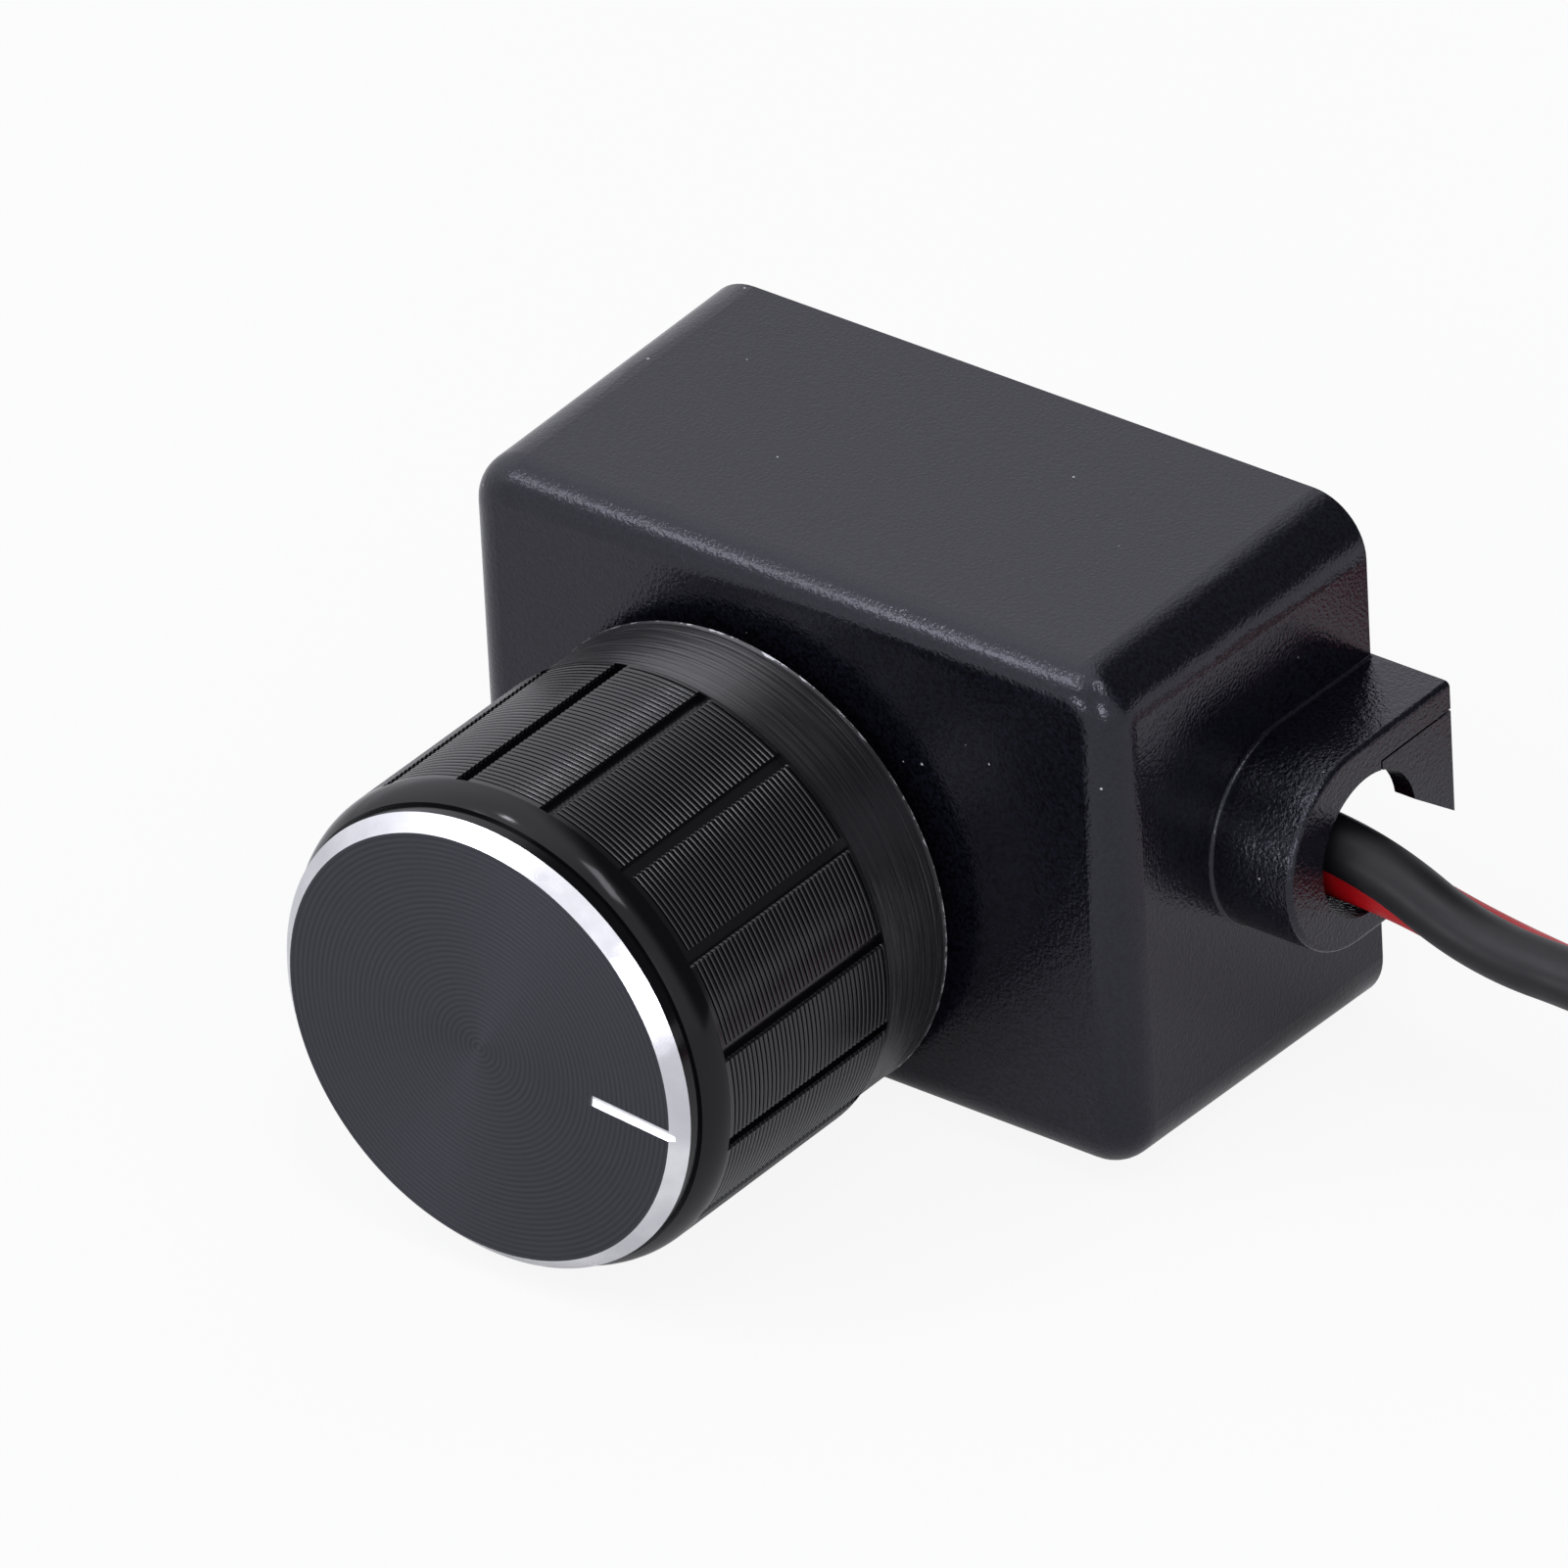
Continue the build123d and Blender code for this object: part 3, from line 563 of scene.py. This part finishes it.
def facedAnodised(name, spec):
    # the same film on the faced end: fine rings about the middle, which fan the light out, with
    # painted shade in their bottoms
    material, tree = newMaterial(name)
    place = addNode(tree, "ShaderNodeTexCoord").outputs["Object"]
    flat = addNode(tree, "ShaderNodeVectorMath", {0: place, 1: (1, 0, 1)}, operation="MULTIPLY")
    radius = addNode(tree, "ShaderNodeVectorMath", {0: flat.outputs[0]}, operation="LENGTH")
    turns = addNode(tree, "ShaderNodeMath", {
        0: radius.outputs["Value"], 1: 2 * math.pi * perMetre(spec["markSpacing"])},
        operation="MULTIPLY")
    rings = addNode(tree, "ShaderNodeMath", {0: turns.outputs[0]}, operation="SINE")
    waver = addNode(tree, "ShaderNodeTexNoise", {
        "Vector": place, "Scale": perMetre(spec["waver"]), "Detail": plainDetail})
    marks = addNode(tree, "ShaderNodeMath", {
        0: rings.outputs[0], 1: waver.outputs["Fac"]}, operation="MULTIPLY")
    cloud = addNode(tree, "ShaderNodeTexNoise", {
        "Vector": place, "Scale": perMetre(spec["cloud"]), "Detail": richDetail})
    bump = addNode(tree, "ShaderNodeBump", {
        "Height": marks.outputs[0], "Strength": 1.0, "Distance": spec["markHeight"] * mm})
    roughness = addNode(tree, "ShaderNodeMapRange", {
        "Value": cloud.outputs["Fac"], "From Min": noiseSpan[0], "From Max": noiseSpan[1],
        "To Min": spec["roughness"][0], "To Max": spec["roughness"][1]})
    # painted shade: the colour follows the marks, darker in their bottoms
    depth = addNode(tree, "ShaderNodeMapRange", {
        "Value": marks.outputs[0], "From Min": spec["markShadeSpan"][0], "From Max": spec["markShadeSpan"][1],
        "To Min": 0.0, "To Max": 1.0})
    colour = addNode(tree, "ShaderNodeMix", {
        mixShare: depth.outputs["Result"], mixFrom: linearColour(spec["tones"][0]),
        mixTo: linearColour(spec["tones"][1])}, data_type="RGBA")
    around = addNode(tree, "ShaderNodeTangent", direction_type="RADIAL", axis="Y")
    shader = addNode(tree, "ShaderNodeBsdfPrincipled", {
        "Base Color": colour.outputs[mixOut], "Metallic": 1.0,
        "Roughness": roughness.outputs["Result"],
        "Anisotropic": spec["anisotropy"], "Anisotropic Rotation": acrossLines,
        "Tangent": around.outputs["Tangent"], "Normal": bump.outputs["Normal"]})
    finishMaterial(tree, shader)
    return material


cutSpec = {
    "tones": ("#d2d2d6", "#f0f0f2"),  # duller where the cutter rubbed
    "roughness": (0.16, 0.3),
    "markSpacing": 0.12,        # mm, coarser than the tool left
    "markHeight": 0.003,
    "streak": 0.8,
    "patch": 4.5,
    "patchSpan": (0.35, 0.6),   # from dull to bright
}


def cutAluminium(name, spec):
    # aluminium cut bright after anodising: mirror-like with fine tool marks along the cut
    material, tree = newMaterial(name)
    place = addNode(tree, "ShaderNodeTexCoord").outputs["Object"]
    flat = addNode(tree, "ShaderNodeVectorMath", {0: place, 1: (1, 0, 1)}, operation="MULTIPLY")
    radius = addNode(tree, "ShaderNodeVectorMath", {0: flat.outputs[0]}, operation="LENGTH")
    turns = addNode(tree, "ShaderNodeMath", {
        0: radius.outputs["Value"], 1: perMetre(spec["markSpacing"])}, operation="MULTIPLY")
    marks = addNode(tree, "ShaderNodeTexNoise", {
        "W": turns.outputs[0], "Scale": 1.0, "Detail": plainDetail}, noise_dimensions="1D")
    streaks = addNode(tree, "ShaderNodeTexNoise", {
        "Vector": place, "Scale": perMetre(spec["streak"]), "Detail": richDetail})
    bump = addNode(tree, "ShaderNodeBump", {
        "Height": marks.outputs["Fac"], "Strength": 1.0, "Distance": spec["markHeight"] * mm})
    roughness = addNode(tree, "ShaderNodeMapRange", {
        "Value": streaks.outputs["Fac"], "From Min": noiseSpan[0], "From Max": noiseSpan[1],
        "To Min": spec["roughness"][0], "To Max": spec["roughness"][1]})
    patches = addNode(tree, "ShaderNodeTexNoise", {
        "Vector": place, "Scale": perMetre(spec["patch"]), "Detail": richDetail})
    shine = addNode(tree, "ShaderNodeMapRange", {
        "Value": patches.outputs["Fac"], "From Min": spec["patchSpan"][0],
        "From Max": spec["patchSpan"][1], "To Min": 0.0, "To Max": 1.0})
    colour = addNode(tree, "ShaderNodeMix", {
        mixShare: shine.outputs["Result"], mixFrom: linearColour(spec["tones"][0]),
        mixTo: linearColour(spec["tones"][1])}, data_type="RGBA")
    shader = addNode(tree, "ShaderNodeBsdfPrincipled", {
        "Base Color": colour.outputs[mixOut], "Metallic": 1.0,
        "Roughness": roughness.outputs["Result"], "Normal": bump.outputs["Normal"]})
    finishMaterial(tree, shader)
    return material


pvcSpec = {
    "black": ("#0c0c11", "#08080c"),
    "red": ("#cc1019", "#b00a13"),
    "roughness": (0.38, 0.5),
    "ior": 1.45,
    "mottle": 2.2,              # mm
    "dieLine": 0.12,            # drawn coarser than the die left
    "dieHeight": 0.0025,
}


def extrudedPvc(name, tones, spec):
    # soft PVC drawn over the wire: an even, slightly waxy skin with a broad highlight
    material, tree = newMaterial(name)
    place = addNode(tree, "ShaderNodeTexCoord").outputs["Object"]
    mottle = addNode(tree, "ShaderNodeTexNoise", {
        "Vector": place, "Scale": perMetre(spec["mottle"]), "Detail": richDetail})
    skin = addNode(tree, "ShaderNodeTexNoise", {
        "Vector": place, "Scale": perMetre(spec["dieLine"]), "Detail": plainDetail})
    colour = addNode(tree, "ShaderNodeMix", {
        mixShare: mottle.outputs["Fac"], mixFrom: linearColour(tones[0]),
        mixTo: linearColour(tones[1])}, data_type="RGBA")
    roughness = addNode(tree, "ShaderNodeMapRange", {
        "Value": mottle.outputs["Fac"], "From Min": noiseSpan[0], "From Max": noiseSpan[1],
        "To Min": spec["roughness"][0], "To Max": spec["roughness"][1]})
    bump = addNode(tree, "ShaderNodeBump", {
        "Height": skin.outputs["Fac"], "Strength": 1.0, "Distance": spec["dieHeight"] * mm})
    shader = addNode(tree, "ShaderNodeBsdfPrincipled", {
        "Base Color": colour.outputs[mixOut], "Roughness": roughness.outputs["Result"],
        "Normal": bump.outputs["Normal"], "IOR": spec["ior"]})
    finishMaterial(tree, shader)
    return material


# what sits inside or under the knob:
# name, two tones, metallic, roughness range, grain and its height in mm
innerFinishes = {
    "tinned_copper": ("tinnedCopperDipped", "#c3c4c6", "#9fa1a5", 1.0, (0.22, 0.4), 0.4, 0.006),
    "green_laminate": (
        "glassEpoxySolderMasked", "#0d4a24", "#0a3a1c", 0.0, (0.28, 0.36), 0.5, 0.003),
    "zinc_casting": ("zincDieCast", "#a9abae", "#8f9194", 1.0, (0.32, 0.48), 0.3, 0.006),
    "plated_steel": ("steelZincPlated", "#b6b8ba", "#9d9fa3", 1.0, (0.25, 0.4), 0.25, 0.003),
    "nickel_brass": ("brassNickelPlated", "#c9c4b6", "#b3ae9f", 1.0, (0.18, 0.3), 0.35, 0.002),
    "phenolic_paper": ("phenolicPaperPunched", "#6e4a2a", "#5b3b20", 0.0, (0.5, 0.65), 0.3, 0.006),
    "black_moulding": ("epoxyMoulded", "#1d1d1f", "#161618", 0.0, (0.5, 0.65), 0.12, 0.006),
    "spring_bronze": ("phosphorBronzeStamped", "#b98a52", "#9c7140", 1.0, (0.25, 0.38), 0.3, 0.003),
    "tin_solder": ("tinSolderReflowed", "#bfc1c4", "#a6a8ac", 1.0, (0.2, 0.42), 0.5, 0.006),
    "can_aluminium": ("aluminiumDrawn", "#c6c8cb", "#b2b4b8", 1.0, (0.24, 0.36), 0.4, 0.003),
    "tan_ceramic": ("ceramicFired", "#9c7d58", "#886b49", 0.0, (0.45, 0.6), 0.15, 0.004),
}
cloudPerGrain = 5


def innerFinish(finish):
    # plated, cast, punched or moulded as named: clouded in tone, with a faint grain
    name, light, dark, metallic, roughRange, grain, grainHeight = finish
    material, tree = newMaterial(name)
    place = addNode(tree, "ShaderNodeTexCoord").outputs["Object"]
    cloud = addNode(tree, "ShaderNodeTexNoise", {
        "Vector": place, "Scale": perMetre(grain * cloudPerGrain), "Detail": richDetail})
    fine = addNode(tree, "ShaderNodeTexNoise", {
        "Vector": place, "Scale": perMetre(grain), "Detail": plainDetail})
    colour = addNode(tree, "ShaderNodeMix", {
        mixShare: cloud.outputs["Fac"], mixFrom: linearColour(light),
        mixTo: linearColour(dark)}, data_type="RGBA")
    roughness = addNode(tree, "ShaderNodeMapRange", {
        "Value": cloud.outputs["Fac"], "From Min": noiseSpan[0], "From Max": noiseSpan[1],
        "To Min": roughRange[0], "To Max": roughRange[1]})
    bump = addNode(tree, "ShaderNodeBump", {
        "Height": fine.outputs["Fac"], "Strength": 1.0, "Distance": grainHeight * mm})
    shader = addNode(tree, "ShaderNodeBsdfPrincipled", {
        "Base Color": colour.outputs[mixOut], "Metallic": metallic,
        "Roughness": roughness.outputs["Result"], "Normal": bump.outputs["Normal"]})
    finishMaterial(tree, shader)
    return material


finishes = {slot: innerFinish(finish) for slot, finish in innerFinishes.items()}
boxMiddle = (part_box("housing")[0].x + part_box("housing")[1].x) / 2
finishes["moulded_abs"] = mouldedAbs("absInjectionMoulded", absSpec, boxMiddle)
finishes["black_pvc"] = extrudedPvc("pvcExtrudedBlack", pvcSpec["black"], pvcSpec)
finishes["red_pvc"] = extrudedPvc("pvcExtrudedRed", pvcSpec["red"], pvcSpec)
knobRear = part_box("knob_shell")[1].y
finishes["black_anodised"] = turnedAnodised(
    "aluminiumRidgedAnodised", turnedSpec, ridgeCut, knobRear)
skirtFinish = turnedAnodised("aluminiumTurnedAnodised", turnedSpec, skirtCut, knobRear)
neckFinish = turnedAnodised("aluminiumPolishedAnodised", turnedSpec, neckCut, knobRear)
faceFinish = facedAnodised("aluminiumFacedAnodised", facedSpec)
cutFinish = cutAluminium("aluminiumDiamondCut", cutSpec)
knobFinishes = [finishes["black_anodised"], faceFinish, cutFinish, skirtFinish, neckFinish]
print("materials mixed:", len({*finishes.values(), *knobFinishes}))


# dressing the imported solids

slotOf = {
    "moulded_abs": ["housing", "rear_cover"],
    "green_laminate": ["circuit_board"],
    "zinc_casting": ["pot_bushing", "pot_shaft"],
    "black_moulding": ["pot_case", "pot_rotor", "knob_insert", "power_transistor", "timer_chip",
                       "voltage_regulator", "flyback_diode", "chip_resistors"],
    "phenolic_paper": ["pot_wafer"],
    "plated_steel": ["pot_back", "pot_washer", "retaining_ring"],
    "tinned_copper": ["pot_terminals", "lead_cores"],
    "nickel_brass": ["pot_nut"],
    "spring_bronze": ["wiper_contact"],
    "tin_solder": ["solder_joints"],
    "can_aluminium": ["electrolytic_capacitor"],
    "tan_ceramic": ["chip_capacitors"],
}
smoothUnder = 28.0  # degrees, keeps the moulded edges crisp


def dress(piece, *looks):
    if piece.data.materials:
        piece.data.materials.clear()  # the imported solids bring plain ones
    for look in looks:
        piece.data.materials.append(look)


for slot, names in slotOf.items():
    for name in names:
        dress(nodes[name], finishes[slot])
        smoothShade(nodes[name].data, smoothUnder)

for name in ("housing", "rear_cover"):
    flats = nodes[name].modifiers.new("flatFaces", "WEIGHTED_NORMAL")
    flats.keep_sharp = True  # rounds blend, flats stay flat

dress(knobShell, *knobFinishes)
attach(knobShell, "knob")
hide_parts("knob_shell")

leadPieces = [
    (blackLead, blackEnd, "black_lead", "black_pvc", leads["black"], leads["blackLength"]),
    (redLead, redEnd, "red_lead", "red_pvc", leads["red"], leads["redLength"]),
]
for lead, end, node, slot, route, length in leadPieces:
    dress(lead, finishes[slot])
    dress(end, finishes["tinned_copper"])
    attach(lead, "base")
    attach(end, "base")
    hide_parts(node)
    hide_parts(node + "_end")
print("pieces dressed and riding")


# floor, world and lamps

studio = {
    "floorSize": 1600.0,        # mm
    "floorColour": "#f2f2f2",
    "restY": -0.2,              # the box's rear bottom edge
    "restHeight": -9.9,
    "restSlope": 0.0369,        # it leans forward on to the knob
    "cameraWhite": 0.9,         # share of plain white that the camera sees in the floor
    "glossyWhite": 0.2,         # share that reflections see
    "skyLight": 0.6,
    "skyWhite": 1.0,
    "lightColour": "#f7f7ff",   # daylight tubes, a little cool
    "dimSide": (0.6, 0.62, 0.5),  # no light stands to the right at the back
    "dimWhite": 0.12,
    "dimSpread": (0.46, 0.8),   # cosines from that direction
    "brightSide": (-0.53, -0.15, 0.83),  # a large screen hangs overhead to the left
    "brightWhite": 0.6,
    "brightSpread": (0.6, 0.97),
    "lampDistance": 700.0,
}
# where each lamp stands, its width and length in mm, its power in watts
lamps = {
    "keySoftbox": ((-0.433, -0.618, 0.656), 330.0, 120.0, 0.65),
    "fillSoftbox": ((0.36, -0.324, 0.875), 150.0, 260.0, 0.65),
    "lowRightSoftbox": ((0.59, -0.78, 0.19), 120.0, 220.0, 0.65),
    "lowLeftSoftbox": ((-0.22, -0.97, 0.09), 130.0, 110.0, 0.42),
    "highSoftbox": ((-0.39, -0.38, 0.838), 60.0, 60.0, 0.22),
}


def addFloor(spec):
    half = spec["floorSize"] / 2
    corners = []
    for x, y in ((-half, -half), (half, -half), (half, half), (-half, half)):
        height = spec["restHeight"] + spec["restSlope"] * (y - spec["restY"])
        corners.append(Vector((x, y, height)) * mm)
    mesh = bpy.data.meshes.new("paperFloor")
    mesh.from_pydata(corners, [], [(0, 1, 2, 3)])
    floor = linkObject("paperFloor", mesh)
    # seamless paper: flat white, with the object's shadow on it
    material, tree = newMaterial("paperMatt")
    ray = addNode(tree, "ShaderNodeLightPath")
    seen = addNode(tree, "ShaderNodeMath", {
        0: ray.outputs["Is Camera Ray"], 1: spec["cameraWhite"]}, operation="MULTIPLY")
    mirrored = addNode(tree, "ShaderNodeMath", {
        0: ray.outputs["Is Glossy Ray"], 1: ray.outputs["Is Transmission Ray"]},
        operation="MAXIMUM")
    share = addNode(tree, "ShaderNodeMath", {
        0: mirrored.outputs[0], 1: spec["glossyWhite"], 2: seen.outputs[0]},
        operation="MULTIPLY_ADD")
    paper = addNode(tree, "ShaderNodeBsdfDiffuse", {"Color": linearColour(spec["floorColour"])})
    glow = addNode(tree, "ShaderNodeEmission", {"Color": (1, 1, 1, 1), "Strength": 1.0})
    both = addNode(tree, "ShaderNodeMixShader", {
        0: share.outputs[0], 1: paper.outputs["BSDF"], 2: glow.outputs["Emission"]})
    addNode(tree, "ShaderNodeOutputMaterial", {"Surface": both.outputs["Shader"]})
    dress(floor, material)


def addWorld(spec):
    world = bpy.data.worlds.new("studioSky")
    world.use_nodes = True
    tree = world.node_tree
    tree.nodes.clear()
    ray = addNode(tree, "ShaderNodeLightPath")
    heading = addNode(tree, "ShaderNodeTexCoord").outputs["Generated"]
    toDim = addNode(tree, "ShaderNodeVectorMath", {
        0: heading, 1: Vector(spec["dimSide"]).normalized()}, operation="DOT_PRODUCT")
    around = addNode(tree, "ShaderNodeMapRange", {
        "Value": toDim.outputs["Value"], "From Min": spec["dimSpread"][0],
        "From Max": spec["dimSpread"][1], "To Min": spec["skyWhite"], "To Max": spec["dimWhite"]},
        interpolation_type="SMOOTHSTEP")
    toBright = addNode(tree, "ShaderNodeVectorMath", {
        0: heading, 1: Vector(spec["brightSide"]).normalized()}, operation="DOT_PRODUCT")
    overhead = addNode(tree, "ShaderNodeMapRange", {
        "Value": toBright.outputs["Value"], "From Min": spec["brightSpread"][0],
        "From Max": spec["brightSpread"][1], "To Min": 0.0, "To Max": spec["brightWhite"]},
        interpolation_type="SMOOTHSTEP")
    room = addNode(tree, "ShaderNodeMath", {
        0: around.outputs["Result"], 1: overhead.outputs["Result"]}, operation="ADD")
    mirrored = addNode(tree, "ShaderNodeMath", {
        0: ray.outputs["Is Glossy Ray"], 1: ray.outputs["Is Transmission Ray"]},
        operation="MAXIMUM")
    strength = addNode(tree, "ShaderNodeMapRange", {
        "Value": mirrored.outputs[0], "To Min": spec["skyLight"], "To Max": room.outputs[0]})
    studioLight = addNode(tree, "ShaderNodeBackground", {
        "Color": linearColour(spec["lightColour"]), "Strength": strength.outputs["Result"]})
    backdrop = addNode(tree, "ShaderNodeBackground", {
        "Color": (1, 1, 1, 1), "Strength": spec["skyWhite"]})
    both = addNode(tree, "ShaderNodeMixShader", {
        0: ray.outputs["Is Camera Ray"], 1: studioLight.outputs["Background"],
        2: backdrop.outputs["Background"]})
    addNode(tree, "ShaderNodeOutputWorld", {"Surface": both.outputs["Shader"]})
    bpy.context.scene.world = world


def addSoftbox(name, heading, width, length, power):
    data = bpy.data.lights.new(name, "AREA")
    data.shape = "RECTANGLE"
    data.size = width * mm
    data.size_y = length * mm
    data.energy = power
    data.color = linearColour(studio["lightColour"])[:3]
    lamp = linkObject(name, data)
    lamp.visible_camera = False
    away = Vector(heading).normalized()
    lamp.location = away * studio["lampDistance"] * mm
    lamp.rotation_euler = away.to_track_quat("Z", "Y").to_euler()


addFloor(studio)
addWorld(studio)
for name, (heading, width, length, power) in lamps.items():
    addSoftbox(name, heading, width, length, power)
bpy.context.scene.view_settings.view_transform = "Standard"
print("studio lit")
